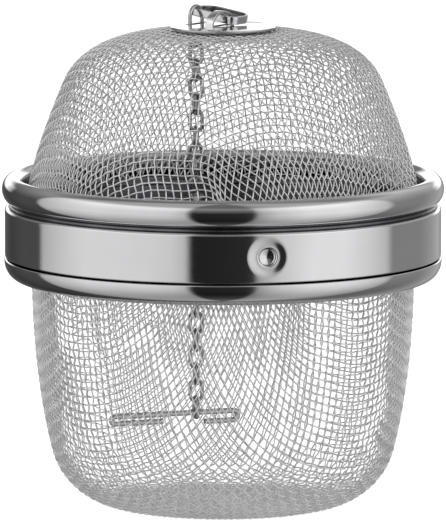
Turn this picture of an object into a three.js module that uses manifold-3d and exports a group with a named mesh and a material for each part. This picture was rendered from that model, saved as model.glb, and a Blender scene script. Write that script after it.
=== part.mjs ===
// Tea infuser: a wire-cloth basket and a domed wire-cloth lid, each held in a roll-formed steel
// ring. The lid drops over the base ring's collar and twists to lock on three pressed lugs. A
// chain hangs inside from the handle loop and ends in a hook for the rim of a cup or pot.
// Millimetres, +Z up. The origin is the centre of the basket's flat bottom.
import * as THREE from 'three';
import { mergeVertices } from 'three/addons/utils/BufferGeometryUtils.js';
import Module from 'manifold-3d';

const wasm = await Module();
wasm.setup();

// ---- Driving dimensions -------------------------------------------------------------------

const SHEET = 0.45;                  // steel sheet of both rings and the disc
const CLOTH = 0.55;                  // woven wire cloth, over both layers of wire
const GAP = 0.3;                     // clearance between pieces that rest on each other

const MOUTH_RADIUS = 33.7;           // outside of the basket's wall at its mouth
const BASKET_DEPTH = 40.9;           // underside of the basket's rim flange
const BASKET_FLOOR_INSET = 16.1;     // mouth radius less the radius of the flat bottom
const BASKET_CORNER_RADIUS = 13;
const BASKET_CORNER_END = 14;        // degrees below level where the corner meets the wall
const WALL_DRAFT = 0.2;              // the wall leans in this much below the mouth
const BASKET_FLANGE_WIDTH = 2.6;

const BEAD_LIP = 0.6;                // gap between the basket's wall and the base ring's lip
const BEAD_WIDTH = 4.2;              // lip to the outside of the lower bead
const BEAD_HEIGHT = 3.8;
const BEAD_FLAT = 1.2;               // flat underside, before the bead curves up
const COLLAR_INSET = 1.2;            // outside of the lower bead to outside of the collar
const COLLAR_HEIGHT = 8.4;           // above the bead's shelf
const BASE_WIRE_RADIUS = 0.7;

const SKIRT_CLEARANCE = 0.65;        // between the collar and the inside of the lid's skirt
const SHOULDER_RISE = 0.6;           // the collar's top to the top of the lid's shoulder
const SHOULDER_RADIUS = 1;
const SHOULDER_ARC = 75;             // degrees from the skirt to the slope of the groove
const GROOVE_DEPTH = 0.85;
const GROOVE_HEIGHT = 1.15;
const ROLL_OVERHANG = 0.5;           // how far the rolled bead stands out past the skirt
const ROLL_HALF_WIDTH = 1.9;
const ROLL_HALF_HEIGHT = 2.4;
const ROLL_START = -55;              // degrees round the roll, from level with its middle
const ROLL_END = 195;
const RIM_WIRE_RADIUS = 1.1;
const CLAMP_THICKNESS = 0.5;
const CLAMP_WIDTH = 1.8;
const CLAMP_CLEARANCE = 0.4;         // above the collar

const LUG_COUNT = 3;
const LUG_ANGLE = -78.4;             // degrees from +X to the front lug
const LUG_DROP = 4.2;                // below the top of the skirt
const LUG_MOUTH_RADIUS = 1.95;
const LUG_DEPTH = 1.25;
const SLOT_CLEARANCE = 0.35;
const TWIST = 25;                    // degrees the lid turns to lock

const DOME_HEIGHT = 29.9;            // rim flange to the flat crown
const DOME_FOOT_TAPER = 0.15;        // inward lean of the wall at its foot
const DOME_SHOULDER_TAPER = 0.42;    // and where it starts to turn over
const DOME_SHOULDER_DROP = 9.1;      // below the crown
const DOME_SHOULDER_INSET = 6.6;     // in from the foot
const DOME_CROWN_RADIUS = 10.5;
const DOME_CROWN_TAPER = 0.05;
const DOME_FLANGE_WIDTH = 2;

const DISC_RADIUS = 9.3;
const PLATE_RADIUS = 8.5;

const FITTING_ANGLE = -35;           // degrees, direction of the handle loop's hinge bar
const BAR_OFFSET = 0.34;             // the disc's centre to the hinge bar
const BRIDGE_ALONG = -0.93;          // place along the bar, from the point nearest the centre
const BRIDGE_WIDTH = 1.6;
const BRIDGE_HALF_SPAN = 2.9;
const LOOP_STRIP_HEIGHT = 1.4;
const LOOP_STRIP = 0.5;
const LOOP_SHORT_END = 2.9;          // the bridge to the loop's low end
const LOOP_LONG_END = 6.3;           // the bridge to the loop's raised end
const LOOP_WIDTH = 5.8;
const LOOP_NEAR_CORNER = 1.2;
const LOOP_FAR_CORNER = 2.6;
const LOOP_LEAN = 8;                 // degrees
const LOOP_CLEARANCE = 0.2;

const RING_WIRE_RADIUS = 0.35;
const RING_HALF_WIDTH = 1.85;        // to the middle of the wire
const RING_LENGTH = 8;               // overall
const RING_TO_BRIDGE = 5.1;
const RING_SLOT_CLEARANCE = 0.5;

const LINK_COUNT = 22;
const LINK_WIRE_RADIUS = 0.35;
const LINK_HALF_WIDTH = 1.1;         // to the middle of the wire
const LINK_PITCH = 3;
const LINK_PLAY = 0.12;              // between the wires of two links
const CHAIN_START = -20;             // degrees, the way the first link's flat side faces
const CHAIN_TWIST = 42;              // degrees the chain turns over its length

const HOOK_WIRE_RADIUS = 0.5;
const HOOK_LONG_ARM = 16.4;          // the chain to the long end
const HOOK_SHORT_ARM = 8.3;
const HOOK_LONG_RETURN = 9;
const HOOK_SHORT_RETURN = 5.4;
const HOOK_LONG_BEND = 0.65;         // bend radius, to the middle of the wire
const HOOK_SHORT_BEND = 0.85;

const ROUND = 40;                    // facets around every turned piece
const CORNER_FACETS = 7;
const WALL_FACETS = 5;
const BEAD_FACETS = 6;
const SHOULDER_FACETS = 3;
const ROLL_FACETS = 11;
const DOME_SHOULDER_FACETS = 7;
const LUG_FACETS = 12;
const HOOP_SIDES = 6;                // facets around the wire of a hoop or a link
const LINK_FACETS = 10;              // facets along a link
const RING_SIDES = 8;
const RING_FACETS = 14;
const HOOK_FACETS = 44;
const HOOK_SIDE_FACETS = 3;
const CORNER_SEGMENTS = 6;           // facets in the corners of flat pieces

const PASS = 1;                      // how far a cutting tool goes past the face it cuts
const SHARPEST_MITER = 0.5;          // stops a sheet's inside from spiking at a tight corner
const SAME_POINT = 1e-4;
const DEG = Math.PI / 180;

// ---- Places worked out from the dimensions ------------------------------------------------

const lipRadius = MOUTH_RADIUS + BEAD_LIP;
const beadRadius = lipRadius + BEAD_WIDTH;
const beadBottom = BASKET_DEPTH - GAP - SHEET;
const shelf = beadBottom + BEAD_HEIGHT;
const collarRadius = beadRadius - COLLAR_INSET;
const collarTop = shelf + COLLAR_HEIGHT;

const skirtRadius = collarRadius + SKIRT_CLEARANCE + SHEET;
const skirtBottom = shelf + GAP;
const skirtTop = collarTop + SHOULDER_RISE;
const rollRadius = skirtRadius + ROLL_OVERHANG - ROLL_HALF_WIDTH;
const rollMiddle = skirtTop + GROOVE_HEIGHT + ROLL_HALF_HEIGHT * Math.sin(-ROLL_START * DEG);
const clampBottom = collarTop + CLAMP_CLEARANCE;
const domeFlange = clampBottom + CLAMP_THICKNESS + GAP;
const domeRimRadius = rollRadius - ROLL_HALF_WIDTH - GAP;
const crown = domeFlange + CLOTH + DOME_HEIGHT;

const discTop = crown + GAP + SHEET;
const plateTop = crown - CLOTH - GAP;

const barHeight = LOOP_CLEARANCE + LOOP_STRIP_HEIGHT / 2 + LOOP_SHORT_END * Math.sin(LOOP_LEAN * DEG);
const bridgeInside = barHeight + LOOP_STRIP_HEIGHT / 2 + LOOP_CLEARANCE;
const ringBarHeight = barHeight + RING_TO_BRIDGE * Math.tan(LOOP_LEAN * DEG);
const ringTop = discTop + ringBarHeight + LOOP_STRIP_HEIGHT / 2 + LINK_PLAY + 2 * RING_WIRE_RADIUS;

const barDirection = new THREE.Vector2(Math.cos(FITTING_ANGLE * DEG), Math.sin(FITTING_ANGLE * DEG));
const barPoint = new THREE.Vector2(-barDirection.y, barDirection.x).multiplyScalar(BAR_OFFSET);
const bridgePlace = alongBar(BRIDGE_ALONG);
const ringPlace = alongBar(BRIDGE_ALONG - RING_TO_BRIDGE);

function alongBar(distance) {
  return barPoint.clone().addScaledVector(barDirection, distance);
}

// ---- Making solids ------------------------------------------------------------------------

/** Turns a profile of (radius, height) points about the Z axis. */
function turned(profile) {
  return new THREE.LatheGeometry(profile, ROUND).rotateX(Math.PI / 2);
}

const at = (radius, height) => new THREE.Vector2(radius, height);

/** Points along part of an ellipse, with its angles in degrees. */
function arc(centre, halfWidth, halfHeight, from, to, steps) {
  const curve = new THREE.EllipseCurve(centre.x, centre.y, halfWidth, halfHeight,
    from * DEG, to * DEG, to < from);
  return curve.getPoints(steps);
}

/** The points of a bend that leaves one point and reaches another, both heading for a corner. */
function bend(from, corner, to, steps) {
  return new THREE.QuadraticBezierCurve(from, corner, to).getPoints(steps).slice(1);
}

/** The section of a sheet whose outside follows the points and whose thickness lies to their left. */
function sheetSection(points, thickness) {
  const inside = points.map((point, i) => {
    const before = points[Math.max(i - 1, 0)];
    const after = points[Math.min(i + 1, points.length - 1)];
    const one = point.clone().sub(before).normalize();
    const two = after.clone().sub(point).normalize();
    const along = one.clone().add(two).normalize();
    const miter = i === 0 || i === points.length - 1 ? 1 : Math.max(along.dot(one), SHARPEST_MITER);
    return at(-along.y, along.x).multiplyScalar(thickness / miter).add(point);
  });
  return [...points, ...inside.reverse()];
}

/** A ring whose section is a bent sheet. */
function sheetRing(points, thickness) {
  const section = sheetSection(points, thickness);
  return turned([...section, section[0].clone()]);
}

/** A cup of cloth whose outline starts or ends on the axis. */
function clothCup(points) {
  const section = sheetSection(points, CLOTH);
  const start = section.findIndex((point, i) => point.x < SAME_POINT && section.at(i - 1).x < SAME_POINT);
  return turned([...section.slice(start), ...section.slice(0, start)]);
}

/** A flat piece with its outline in the XY plane, from height z up. */
function flat(shape, thickness, z) {
  return new THREE.ExtrudeGeometry(shape, {
    depth: thickness, bevelEnabled: false, curveSegments: CORNER_SEGMENTS,
  }).translate(0, 0, z);
}

/** A flat ring or disc. */
function washer(outer, inner, thickness, z) {
  const profile = [
    new THREE.Vector2(inner, z),
    new THREE.Vector2(outer, z),
    new THREE.Vector2(outer, z + thickness),
    new THREE.Vector2(inner, z + thickness),
  ];
  if (inner > 0) profile.push(profile[0].clone());
  return turned(profile);
}

/** Part of a wall between two radii and two angles, to cut a slot with. */
function sector(inner, outer, fromAngle, toAngle, bottom, top) {
  const shape = new THREE.Shape();
  shape.absarc(0, 0, outer, fromAngle * DEG, toAngle * DEG, false);
  shape.absarc(0, 0, inner, toAngle * DEG, fromAngle * DEG, true);
  return flat(shape, top - bottom, bottom);
}

/** A slot with round ends, centred on a place, along an angle in degrees. */
function roundSlot(place, angle, length, width, bottom, top) {
  const straight = length / 2 - width / 2;
  const shape = new THREE.Shape();
  shape.absarc(straight, 0, width / 2, -Math.PI / 2, Math.PI / 2, false);
  shape.absarc(-straight, 0, width / 2, Math.PI / 2, 3 * Math.PI / 2, false);
  return flat(shape, top - bottom, bottom).rotateZ(angle * DEG).translate(place.x, place.y, 0);
}

/** A closed link of round wire standing along Z, its flat side facing Y, its middle at the origin. */
function wireLink(length, halfWidth, wireRadius, sides, steps) {
  const link = new THREE.TorusGeometry(halfWidth, wireRadius, sides, steps).rotateZ(Math.PI / steps);
  const stretch = length / 2 - halfWidth - wireRadius;
  const position = link.getAttribute('position');
  for (let i = 0; i < position.count; i++) {
    position.setX(i, position.getX(i) + Math.sign(position.getX(i)) * stretch);
  }
  return link.rotateX(Math.PI / 2).rotateY(Math.PI / 2);
}

function toSolid(geometry) {
  const bare = geometry.clone();
  bare.deleteAttribute('normal');
  bare.deleteAttribute('uv');
  const merged = mergeVertices(bare, SAME_POINT);
  const corners = merged.getIndex().array;
  const faces = [];
  for (let i = 0; i < corners.length; i += 3) {
    const [a, b, c] = corners.slice(i, i + 3);
    if (a !== b && b !== c && c !== a) faces.push(a, b, c);
  }
  return new wasm.Manifold(new wasm.Mesh({
    numProp: 3,
    vertProperties: new Float32Array(merged.getAttribute('position').array),
    triVerts: new Uint32Array(faces),
  }));
}

function toGeometry(solid) {
  const mesh = solid.getMesh();
  const geometry = new THREE.BufferGeometry();
  geometry.setAttribute('position', new THREE.BufferAttribute(mesh.vertProperties, 3));
  geometry.setIndex(new THREE.BufferAttribute(mesh.triVerts, 1));
  geometry.computeVertexNormals();
  return geometry;
}

/** A geometry with others joined to it and cut from it. */
function carved(geometry, { add = [], cut = [] }) {
  const joined = add.reduce((solid, piece) => solid.add(toSolid(piece)), toSolid(geometry));
  return toGeometry(cut.reduce((solid, piece) => solid.subtract(toSolid(piece)), joined));
}

// ---- Basket and base ring -----------------------------------------------------------------

/** Wire cloth pressed to a cup: flat floor, round corner, wall that straightens to the mouth. */
function basketCloth() {
  const radius = BASKET_CORNER_RADIUS;
  const centre = at(MOUTH_RADIUS - BASKET_FLOOR_INSET, radius);
  const corner = arc(centre, radius, radius, -90, -BASKET_CORNER_END, CORNER_FACETS);
  const cornerEnd = corner.at(-1);
  const wallRadius = MOUTH_RADIUS - WALL_DRAFT;
  const turn = cornerEnd.y + (wallRadius - cornerEnd.x) / Math.tan(BASKET_CORNER_END * DEG);
  const mouth = at(MOUTH_RADIUS, BASKET_DEPTH - CLOTH);
  return clothCup([
    at(0, 0),
    ...corner,
    ...bend(cornerEnd, at(wallRadius, Math.min(turn, mouth.y)), mouth, WALL_FACETS),
    at(MOUTH_RADIUS + CLOTH, BASKET_DEPTH),
    at(MOUTH_RADIUS + BASKET_FLANGE_WIDTH, BASKET_DEPTH),
  ]);
}

/** One roll-formed sheet: lip, quarter-round bead, shelf and the collar with its three L-slots. */
function baseRing() {
  const across = BEAD_WIDTH - BEAD_FLAT;
  const up = BEAD_HEIGHT - SHEET;
  const section = [
    at(lipRadius, beadBottom),
    ...arc(at(lipRadius + BEAD_FLAT, shelf - SHEET), across, up, -90, 0, BEAD_FACETS),
    at(beadRadius - SHEET / 2, shelf),
    at(collarRadius, shelf),
    at(collarRadius, collarTop),
  ];
  return carved(sheetRing(section, SHEET), { cut: lugAngles().flatMap(lugSlot) });
}

function lugAngles() {
  return Array.from({ length: LUG_COUNT }, (_, i) => LUG_ANGLE + i * 360 / LUG_COUNT);
}

const lugHeight = skirtTop - LUG_DROP;
const lugSphere = (LUG_MOUTH_RADIUS ** 2 + LUG_DEPTH ** 2) / (2 * LUG_DEPTH);
const lugCentre = skirtRadius - LUG_DEPTH + lugSphere;

/** The L-slot for one lug: a leg open at the collar's top, and a leg the lug turns along. */
function lugSlot(angle) {
  const reach = Math.sqrt((lugSphere + SHEET) ** 2 - (lugCentre - collarRadius) ** 2) + SLOT_CLEARANCE;
  const half = reach / collarRadius / DEG;
  const inner = collarRadius - SHEET - PASS;
  const outer = collarRadius + PASS;
  const bottom = lugHeight - reach;
  return [
    sector(inner, outer, angle - half, angle + half, bottom, collarTop + PASS),
    sector(inner, outer, angle - TWIST - half, angle + half, bottom, lugHeight + reach),
  ];
}

/** Wire hoop inside the lower bead, over the basket's rim flange. */
function baseWire() {
  const z = BASKET_DEPTH + CLOTH + GAP + BASE_WIRE_RADIUS;
  const radius = MOUTH_RADIUS + BASKET_FLANGE_WIDTH + GAP;
  return new THREE.TorusGeometry(radius, BASE_WIRE_RADIUS, HOOP_SIDES, ROUND).translate(0, 0, z);
}

// ---- Lid ----------------------------------------------------------------------------------

/** One roll-formed sheet: skirt with pressed lugs, shoulder, groove and rolled bead. */
function lidRing() {
  const shoulder = at(skirtRadius - SHOULDER_RADIUS, skirtTop - SHOULDER_RADIUS);
  const section = [
    at(skirtRadius, skirtBottom),
    ...arc(shoulder, SHOULDER_RADIUS, SHOULDER_RADIUS, 0, SHOULDER_ARC, SHOULDER_FACETS),
    at(skirtRadius - GROOVE_DEPTH, skirtTop + GROOVE_HEIGHT / 2),
    ...arc(at(rollRadius, rollMiddle), ROLL_HALF_WIDTH, ROLL_HALF_HEIGHT, ROLL_START, ROLL_END,
      ROLL_FACETS),
  ];
  return carved(sheetRing(section, SHEET), {
    add: lugAngles().map(lugSwell),
    cut: lugAngles().map((angle) => lugBall(angle, lugSphere)),
  });
}

function lugBall(angle, radius) {
  return new THREE.SphereGeometry(radius, LUG_FACETS, LUG_FACETS * 2 / 3)
    .translate(lugCentre, 0, lugHeight)
    .rotateZ(angle * DEG);
}

/** The inward swell of one lug, kept behind the outside of the skirt. */
function lugSwell(angle) {
  const behindSkirt = washer(skirtRadius - SHEET / 2, 0, skirtTop - skirtBottom, skirtBottom);
  return toGeometry(toSolid(lugBall(angle, lugSphere + SHEET)).intersect(toSolid(behindSkirt)));
}

/** Wire hoop inside the lid's rolled bead. */
function rimWire() {
  return new THREE.TorusGeometry(rollRadius, RIM_WIRE_RADIUS, HOOP_SIDES, ROUND)
    .translate(0, 0, rollMiddle);
}

/** Flat ring pressed in under the dome's rim flange, where the groove locks it. */
function clampRing() {
  const outer = domeRimRadius + DOME_FLANGE_WIDTH;
  return washer(outer, outer - CLAMP_WIDTH, CLAMP_THICKNESS, clampBottom);
}

/** Wire cloth pressed to a dome, with a slot in the crown for the chain's ring. */
function domeCloth() {
  const flangeTop = domeFlange + CLOTH;
  const shoulder = at(domeRimRadius - DOME_SHOULDER_INSET, crown - DOME_SHOULDER_DROP);
  const footLine = domeRimRadius + DOME_FOOT_TAPER * flangeTop;
  const shoulderLine = shoulder.x + DOME_SHOULDER_TAPER * shoulder.y;
  const lean = (shoulderLine - footLine) / (DOME_SHOULDER_TAPER - DOME_FOOT_TAPER);
  const turn = crown - DOME_CROWN_TAPER * (shoulder.x - DOME_CROWN_RADIUS);
  const foot = at(domeRimRadius, flangeTop);
  const crownEdge = at(DOME_CROWN_RADIUS, crown);
  const points = [
    at(domeRimRadius + DOME_FLANGE_WIDTH, flangeTop),
    foot,
    ...bend(foot, at(footLine - DOME_FOOT_TAPER * lean, lean), shoulder, WALL_FACETS),
    ...bend(shoulder, at(shoulderLine - DOME_SHOULDER_TAPER * turn, turn), crownEdge,
      DOME_SHOULDER_FACETS),
    at(0, crown),
  ];
  return carved(clothCup(points), { cut: [ringSlot()] });
}

/** The slot that the chain's ring passes through, in the disc, the cloth and the inner plate. */
function ringSlot() {
  const length = 2 * (RING_HALF_WIDTH + RING_WIRE_RADIUS + RING_SLOT_CLEARANCE);
  const width = 2 * (RING_WIRE_RADIUS + RING_SLOT_CLEARANCE);
  const bottom = plateTop - SHEET - PASS;
  return roundSlot(ringPlace, FITTING_ANGLE + 90, length, width, bottom, discTop + PASS);
}

/** Disc on the crown, with a bridge lanced up from it that holds the handle loop. */
function topDisc() {
  const bottom = discTop - SHEET;
  const lanced = roundSlot(bridgePlace, FITTING_ANGLE + 90, 2 * BRIDGE_HALF_SPAN,
    BRIDGE_WIDTH, bottom - PASS, discTop + PASS);
  return carved(washer(DISC_RADIUS, 0, SHEET, bottom), {
    cut: [ringSlot(), lanced],
    add: [bridge(bottom)],
  });
}

function bridge(bottom) {
  const foot = discTop - bottom;
  const shape = new THREE.Shape();
  shape.moveTo(BRIDGE_HALF_SPAN + SHEET, 0);
  shape.lineTo(BRIDGE_HALF_SPAN + SHEET, foot);
  shape.absellipse(0, foot, BRIDGE_HALF_SPAN + SHEET, bridgeInside + SHEET, 0, Math.PI, false);
  shape.lineTo(-BRIDGE_HALF_SPAN - SHEET, 0);
  shape.lineTo(-BRIDGE_HALF_SPAN, 0);
  shape.lineTo(-BRIDGE_HALF_SPAN, foot);
  shape.absellipse(0, foot, BRIDGE_HALF_SPAN, bridgeInside, Math.PI, 0, true);
  shape.lineTo(BRIDGE_HALF_SPAN, 0);
  return flat(shape, BRIDGE_WIDTH, -BRIDGE_WIDTH / 2)
    .rotateX(Math.PI / 2)
    .rotateZ((FITTING_ANGLE + 90) * DEG)
    .translate(bridgePlace.x, bridgePlace.y, bottom);
}

/** Plate under the crown, welded through the cloth to the disc. */
function innerPlate() {
  return carved(washer(PLATE_RADIUS, 0, SHEET, plateTop - SHEET), { cut: [ringSlot()] });
}

// ---- Handle loop, chain and hook ----------------------------------------------------------

/** Flat strip bent to a closed loop, its hinge bar along X through the origin. */
function handleLoop() {
  const loop = loopOutline(LOOP_STRIP / 2, new THREE.Shape());
  loop.holes.push(loopOutline(-LOOP_STRIP / 2, new THREE.Path()));
  return flat(loop, LOOP_STRIP_HEIGHT, -LOOP_STRIP_HEIGHT / 2);
}

/** The loop's outline, grown by an offset from the middle of the strip. */
function loopOutline(offset, path) {
  const near = LOOP_NEAR_CORNER;
  const far = LOOP_FAR_CORNER;
  const corner = (x, y, radius, from) => {
    path.absarc(x, y, radius + offset, from * DEG, (from + 90) * DEG, false);
  };
  corner(LOOP_SHORT_END - near, near, near, -90);
  corner(LOOP_SHORT_END - far, LOOP_WIDTH - far, far, 0);
  corner(far - LOOP_LONG_END, LOOP_WIDTH - far, far, 90);
  corner(near - LOOP_LONG_END, near, near, 180);
  return path;
}

/** Wire hook, its shank along X through the origin, with both ends bent back underneath. */
function cupHook() {
  const longEnd = -HOOK_LONG_ARM + HOOK_WIRE_RADIUS + HOOK_LONG_BEND;
  const shortEnd = HOOK_SHORT_ARM - HOOK_WIRE_RADIUS - HOOK_SHORT_BEND;
  const longTurn = halfTurn(longEnd, HOOK_LONG_BEND, -1).reverse();
  const shortTurn = halfTurn(shortEnd, HOOK_SHORT_BEND, 1);
  const route = new THREE.CurvePath();
  const straight = (from, to) => route.add(new THREE.LineCurve3(from, to));
  straight(longTurn[0].clone().setX(longEnd + HOOK_LONG_RETURN), longTurn[0]);
  route.add(new THREE.CatmullRomCurve3(longTurn));
  straight(longTurn.at(-1), shortTurn[0]);
  route.add(new THREE.CatmullRomCurve3(shortTurn));
  straight(shortTurn.at(-1), shortTurn.at(-1).clone().setX(shortEnd - HOOK_SHORT_RETURN));
  const section = new THREE.Shape().absarc(0, 0, HOOK_WIRE_RADIUS, 0, 2 * Math.PI, false);
  return new THREE.ExtrudeGeometry(section, {
    steps: HOOK_FACETS, bevelEnabled: false, curveSegments: HOOK_SIDE_FACETS, extrudePath: route,
  });
}

/** Points around a half turn below the shank, bulging to one side. */
function halfTurn(x, radius, side) {
  return [0, 45, 90, 135, 180].map((angle) => new THREE.Vector3(
    x + side * radius * Math.sin(angle * DEG),
    0,
    radius * (Math.cos(angle * DEG) - 1),
  ));
}

// ---- Assembly -----------------------------------------------------------------------------

const steel = (color, roughness) => new THREE.MeshStandardMaterial({ color, roughness, metalness: 1 });
const POLISHED = steel(0xc9cacc, 0.14);
const CLOTH_STEEL = steel(0xb4b5b8, 0.32);
const WIRE_STEEL = steel(0xa6a8ac, 0.26);

function piece(parent, name, geometry, material) {
  const mesh = new THREE.Mesh(geometry, material);
  mesh.name = name;
  parent.add(mesh);
  return mesh;
}

const infuser = new THREE.Group();

const base = new THREE.Group();
infuser.add(base);
piece(base, 'basket_cloth', basketCloth(), CLOTH_STEEL);
piece(base, 'base_ring', baseRing(), POLISHED);
piece(base, 'base_rim_wire', baseWire(), WIRE_STEEL);

const lid = new THREE.Group();
infuser.add(lid);
piece(lid, 'lid_rim_wire', rimWire(), WIRE_STEEL);
piece(lid, 'lid_ring', lidRing(), POLISHED);
piece(lid, 'dome_clamp_ring', clampRing(), WIRE_STEEL);
piece(lid, 'dome_cloth', domeCloth(), CLOTH_STEEL);
piece(lid, 'top_disc', topDisc(), POLISHED);
piece(lid, 'inner_plate', innerPlate(), POLISHED);

const fitting = new THREE.Group();
fitting.position.set(bridgePlace.x, bridgePlace.y, discTop + barHeight);
fitting.rotation.z = FITTING_ANGLE * DEG;
lid.add(fitting);
piece(fitting, 'handle_loop', handleLoop(), POLISHED).rotation.y = LOOP_LEAN * DEG;

const chain = new THREE.Group();
chain.position.set(ringPlace.x, ringPlace.y, ringTop - RING_LENGTH / 2);
lid.add(chain);
const chainRing = wireLink(RING_LENGTH, RING_HALF_WIDTH, RING_WIRE_RADIUS, RING_SIDES, RING_FACETS);
piece(chain, 'chain_ring', chainRing, WIRE_STEEL).rotation.z = (FITTING_ANGLE + 90) * DEG;

const linkLength = LINK_PITCH + LINK_PLAY + 4 * LINK_WIRE_RADIUS;
const firstLinkTop = -RING_LENGTH / 2 + 2 * RING_WIRE_RADIUS + LINK_PLAY + 2 * LINK_WIRE_RADIUS;
for (let i = 0; i < LINK_COUNT; i++) {
  const name = `chain_link_${String(i + 1).padStart(2, '0')}`;
  const link = wireLink(linkLength, LINK_HALF_WIDTH, LINK_WIRE_RADIUS, HOOP_SIDES, LINK_FACETS);
  const mesh = piece(chain, name, link, WIRE_STEEL);
  mesh.position.z = firstLinkTop - i * LINK_PITCH - linkLength / 2;
  mesh.rotation.z = linkAngle(i) * DEG;
}

/** The way a link's flat side faces, in degrees: each is square to the last, and the chain twists. */
function linkAngle(i) {
  return CHAIN_START + CHAIN_TWIST * i / LINK_COUNT + (i % 2) * 90;
}

const lastLinkBottom = firstLinkTop - (LINK_COUNT - 1) * LINK_PITCH - linkLength;
const hook = piece(chain, 'cup_hook', cupHook(), WIRE_STEEL);
hook.position.z = lastLinkBottom + 2 * LINK_WIRE_RADIUS + LINK_PLAY + HOOK_WIRE_RADIUS;
hook.rotation.z = (linkAngle(LINK_COUNT - 1) - 90) * DEG;

export default infuser;
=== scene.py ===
import bpy
import bmesh
import numpy as np
from math import atan2, cos, degrees, hypot, pi, radians, sin, sqrt, tan
from mathutils import Matrix, Vector


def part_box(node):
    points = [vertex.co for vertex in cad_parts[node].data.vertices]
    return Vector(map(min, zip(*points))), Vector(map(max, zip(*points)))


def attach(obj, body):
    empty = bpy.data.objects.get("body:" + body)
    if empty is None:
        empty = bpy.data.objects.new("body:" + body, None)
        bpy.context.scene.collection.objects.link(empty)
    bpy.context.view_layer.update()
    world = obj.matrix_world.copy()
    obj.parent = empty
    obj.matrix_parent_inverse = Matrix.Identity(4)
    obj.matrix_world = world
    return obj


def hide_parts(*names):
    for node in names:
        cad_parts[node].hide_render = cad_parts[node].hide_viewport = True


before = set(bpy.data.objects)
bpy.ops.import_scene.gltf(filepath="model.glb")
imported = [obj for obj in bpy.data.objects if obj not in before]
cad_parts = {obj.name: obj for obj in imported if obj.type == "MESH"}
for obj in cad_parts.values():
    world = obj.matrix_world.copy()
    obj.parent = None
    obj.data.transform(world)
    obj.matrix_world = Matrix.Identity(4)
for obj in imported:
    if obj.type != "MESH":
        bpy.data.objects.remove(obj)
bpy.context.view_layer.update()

# ---- Camera -------------------------------------------------------------------------------
# A long lens a couple of metres away looks slightly down on the infuser, so it shows almost
# flat, with the front lug just right of the middle.
MM = 0.001
CAMERA_ELEVATION = radians(7.6)
CAMERA_DISTANCE = 1.6
CAMERA_TARGET = Vector((0, 0, 43.3 * MM))
FRAME_HEIGHT = 91.6 * MM
SENSOR = 36.0
NEAREST = 0.05
FARTHEST = 50

camera_data = bpy.data.cameras.new("camera")
camera_data.sensor_fit = "VERTICAL"
camera_data.sensor_height = SENSOR
camera_data.lens = SENSOR * CAMERA_DISTANCE / FRAME_HEIGHT
camera_data.clip_start = NEAREST
camera_data.clip_end = FARTHEST
camera = bpy.data.objects.new("camera", camera_data)
bpy.context.scene.collection.objects.link(camera)
camera.location = CAMERA_TARGET + CAMERA_DISTANCE * Vector(
    (0, -cos(CAMERA_ELEVATION), sin(CAMERA_ELEVATION)))
camera.rotation_euler = (pi / 2 - CAMERA_ELEVATION, 0, 0)
bpy.context.scene.camera = camera

# ---- Studio -------------------------------------------------------------------------------
# A pale floor in a white room. Two tall soft light panels stand left and right of the camera,
# with a dark gap between them that shows as the black band in the polished rings.
FLOOR_SIZE = 6.0
FLOOR_COLOR = (0.92, 0.92, 0.92, 1)
FLOOR_ROUGHNESS = 0.9
FLOOR_GLOW = 0.7
WHITE = (1, 1, 1, 1)
PANEL_LIGHT = [
    (-180, 0.14), (-150, 0.06), (-130, 0.09), (-114, 0.09), (-110, 0.62), (-93, 0.87), (-78, 1.0),
    (-40, 0.97), (-27, 0.88), (-20, 0.72), (-16.5, 0.02), (12, 0.03), (16, 0.05), (19, 0.5),
    (30, 0.85), (48, 1.1), (68, 1.12), (84, 0.9), (96, 0.7), (101, 0.3), (128, 0.3), (158, 0.5),
    (180, 0.14)]
PANEL_FALL = [
    (-1.0, 0.35), (-0.85, 0.45), (-0.5, 0.78), (-0.15, 1.0), (0.6, 1.0), (0.78, 0.4), (1.0, 0.3)]
OVERHEAD_LIGHT = [
    (-1.0, 0.12), (-0.9, 0.04), (-0.7, 0.0), (0.1, 0.0), (0.35, 0.12), (0.6, 0.3), (0.8, 0.16),
    (1.0, 0.2)]
BACK_LIGHT = [(-180, 1.0), (-158, 1.0), (-142, 0.0), (142, 0.0), (158, 1.0), (180, 1.0)]
BACK_HEIGHT = [(-0.02, 0.0), (0.05, 1.45), (0.2, 1.45), (0.32, 0.0)]

floor_bm = bmesh.new()
bmesh.ops.create_grid(floor_bm, x_segments=1, y_segments=1, size=FLOOR_SIZE)
floor_mesh = bpy.data.meshes.new("floor")
floor_bm.to_mesh(floor_mesh)
floor_bm.free()
floor = bpy.data.objects.new("floor", floor_mesh)
bpy.context.scene.collection.objects.link(floor)
floor_material = bpy.data.materials.new("floor")
floor_material.use_nodes = True
floor_shader = floor_material.node_tree.nodes["Principled BSDF"]
floor_shader.inputs["Base Color"].default_value = FLOOR_COLOR
floor_shader.inputs["Roughness"].default_value = FLOOR_ROUGHNESS
floor_shader.inputs["Emission Color"].default_value = WHITE
floor_shader.inputs["Emission Strength"].default_value = FLOOR_GLOW
floor_mesh.materials.append(floor_material)
floor.visible_glossy = False

world = bpy.data.worlds.new("studio")
world.use_nodes = True
bpy.context.scene.world = world
tree = world.node_tree
tree.nodes.clear()


def math_node(operation, first, second):
    """A Math node of the studio's tree fed by two outputs or numbers."""
    node = tree.nodes.new("ShaderNodeMath")
    node.operation = operation
    for socket, value in zip(node.inputs, (first, second)):
        if isinstance(value, (int, float)):
            socket.default_value = value
        else:
            tree.links.new(value, socket)
    return node.outputs[0]


def light_curve(source, points, low, high):
    """Brightness read from a table of (place, brightness), with places between low and high."""
    ramp = tree.nodes.new("ShaderNodeValToRGB")
    stops = ramp.color_ramp.elements
    while len(stops) < len(points):
        stops.new(0.5)
    for stop, (place, value) in zip(stops, points):
        stop.position = (place - low) / (high - low)
        stop.color = (value, value, value, 1)
    tree.links.new(source, ramp.inputs["Fac"])
    return ramp.outputs["Color"]


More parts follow.
